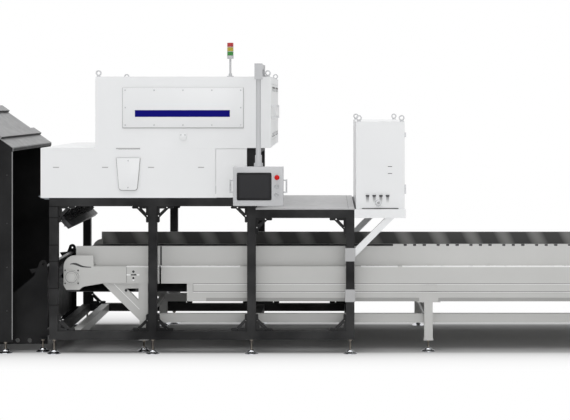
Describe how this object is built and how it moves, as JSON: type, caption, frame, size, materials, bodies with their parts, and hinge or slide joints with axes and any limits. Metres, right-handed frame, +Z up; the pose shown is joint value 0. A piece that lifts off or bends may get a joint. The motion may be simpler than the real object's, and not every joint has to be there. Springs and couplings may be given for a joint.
{
  "type": "optical bottle sorter",
  "caption": "Belt-fed optical sorting machine: tube frame, white inspection head, air ejector bar, splitter chute, hood, swing-arm operator panel and control cabinet.",
  "frame": {"origin": "middle of the overall footprint, on the floor", "axes": "+X towards the feeding end of the conveyor, +Y to the back, +Z up"},
  "size_m": [7.9524, 2.6768, 2.962],
  "materials": {
    "frame_black": "satin black powder coat",
    "feet_steel": "polished stainless",
    "table_grey": "satin grey powder coat",
    "panel_white": "satin white powder coat",
    "bright_steel": "zinc plated",
    "aluminium": "mill finish",
    "dark_plastic": "moulded black",
    "tower_grey": "moulded grey",
    "lens_green": "clear tinted lens",
    "lens_amber": "clear tinted lens",
    "lens_red": "clear tinted lens",
    "operator_grey": "fine texture powder coat",
    "screen_black": "glossy front",
    "stop_red": "gloss red",
    "button_grey": "moulded grey",
    "conveyor_grey": "satin grey powder coat",
    "bed_steel": "brushed",
    "belt_black": "matt rubber",
    "motor_grey": "painted casting",
    "hood_black": "satin black powder coat",
    "splitter_steel": "brushed"
  },
  "bodies": {
    "machine": {"frame_posts": "frame_black", "frame_rails": "frame_black", "frame_beams": "frame_black", "corner_brackets": "frame_black", "ejector_manifold": "frame_black", "levelling_feet": "feet_steel", "table_plate": "table_grey", "lower_housing": "panel_white", "upper_cabinet": "panel_white", "service_panels": "panel_white", "front_covers": "panel_white", "console_frame": "panel_white", "control_cabinet": "panel_white", "panel_screws": "bright_steel", "lifting_eyes": "bright_steel", "arm_base": "bright_steel", "camera_beam": "aluminium", "light_bars": "aluminium", "mounting_plate": "aluminium", "cameras": "dark_plastic", "ejector_valves": "dark_plastic", "control_modules": "dark_plastic", "cable_glands": "dark_plastic", "tower_pole": "tower_grey", "tower_green": "lens_green", "tower_amber": "lens_amber", "tower_red": "lens_red", "side_channels": "conveyor_grey", "skirts": "conveyor_grey", "end_plates": "conveyor_grey", "flange_bearings": "conveyor_grey", "roller_brackets": "conveyor_grey", "lower_pan": "conveyor_grey", "conveyor_legs": "conveyor_grey", "tie_beams": "conveyor_grey", "post_clamps": "conveyor_grey", "slider_bed": "bed_steel", "belt": "belt_black", "gearmotor": "motor_grey", "hood_walls": "hood_black", "hood_roof": "hood_black", "chute_sides": "hood_black"},
    "head_drum": {"head_drum": "bed_steel"},
    "tail_drum": {"tail_drum": "bed_steel"},
    "return_roller_left": {"return_roller_left": "bed_steel"},
    "return_roller_right": {"return_roller_right": "bed_steel"},
    "swing_arm": {"swing_arm": "operator_grey"},
    "operator_panel": {"swivel_collar": "bright_steel", "operator_housing": "operator_grey", "operator_screen": "screen_black", "operator_handles": "bright_steel"},
    "emergency_stop": {"emergency_stop": "stop_red"},
    "start_button": {"start_button": "button_grey"},
    "stop_button": {"stop_button": "button_grey"},
    "housing_door": {"housing_door": "panel_white"},
    "side_door_near": {"side_door_near": "panel_white"},
    "side_door_far": {"side_door_far": "panel_white"},
    "cabinet_door_near": {"cabinet_door_near": "panel_white"},
    "cabinet_door_far": {"cabinet_door_far": "panel_white"},
    "splitter_flap": {"splitter_flap": "splitter_steel"}
  },
  "joints": [
    {"name": "head_drum_spin", "type": "hinge", "parent": "machine", "child": "head_drum", "pos_m": [-2.17915, 0.3225, 0.7197], "axis": [0, 1, 0], "continuous": true},
    {"name": "tail_drum_spin", "type": "hinge", "parent": "machine", "child": "tail_drum", "pos_m": [3.82085, 0.3225, 0.7197], "axis": [0, 1, 0], "continuous": true},
    {"name": "left_roller_spin", "type": "hinge", "parent": "machine", "child": "return_roller_left", "pos_m": [-0.17515, 0.3225, 0.5341], "axis": [0, 1, 0], "continuous": true},
    {"name": "right_roller_spin", "type": "hinge", "parent": "machine", "child": "return_roller_right", "pos_m": [2.62085, 0.3225, 0.5341], "axis": [0, 1, 0], "continuous": true},
    {"name": "arm_swing", "type": "hinge", "parent": "machine", "child": "swing_arm", "pos_m": [-0.35415, -0.5875, 2.726], "axis": [0, 0, 1], "range_deg": [-15, 60]},
    {"name": "panel_swivel", "type": "hinge", "parent": "swing_arm", "child": "operator_panel", "pos_m": [-0.35415, -1.2375, 1.88], "axis": [0, 0, 1], "range_deg": [-45, 45]},
    {"name": "emergency_stop_press", "type": "slide", "parent": "operator_panel", "child": "emergency_stop", "axis": [0, 1, 0], "range_m": [0, 0.008], "stiffness_N_per_m": 400},
    {"name": "start_press", "type": "slide", "parent": "operator_panel", "child": "start_button", "axis": [0, 1, 0], "range_m": [0, 0.005], "stiffness_N_per_m": 300},
    {"name": "stop_press", "type": "slide", "parent": "operator_panel", "child": "stop_button", "axis": [0, 1, 0], "range_m": [0, 0.005], "stiffness_N_per_m": 300},
    {"name": "housing_door_swing", "type": "hinge", "parent": "machine", "child": "housing_door", "pos_m": [-0.78015, -0.6615, 1.72], "axis": [0, 0, -1], "range_deg": [0, 110]},
    {"name": "side_door_near_swing", "type": "hinge", "parent": "machine", "child": "side_door_near", "pos_m": [-0.27215, 0.4335, 2.3], "axis": [0, 0, 1], "range_deg": [0, 90]},
    {"name": "side_door_far_swing", "type": "hinge", "parent": "machine", "child": "side_door_far", "pos_m": [-0.27215, 1.2535, 2.3], "axis": [0, 0, 1], "range_deg": [0, 90]},
    {"name": "cabinet_door_near_swing", "type": "hinge", "parent": "machine", "child": "cabinet_door_near", "pos_m": [1.00585, -0.5625, 1.79], "axis": [0, 0, -1], "range_deg": [0, 110]},
    {"name": "cabinet_door_far_swing", "type": "hinge", "parent": "machine", "child": "cabinet_door_far", "pos_m": [1.00585, 1.2075, 1.79], "axis": [0, 0, 1], "range_deg": [0, 110]},
    {"name": "splitter_tilt", "type": "hinge", "parent": "machine", "child": "splitter_flap", "pos_m": [-2.46615, 0.3225, 0.836], "axis": [0, 1, 0], "range_deg": [-10, 25]}
  ],
  "couplings": [
    {"joint": "tail_drum_spin", "follows": "head_drum_spin", "ratio": 1},
    {"joint": "left_roller_spin", "follows": "head_drum_spin", "ratio": -5.1767},
    {"joint": "right_roller_spin", "follows": "head_drum_spin", "ratio": -5.1767}
  ]
}
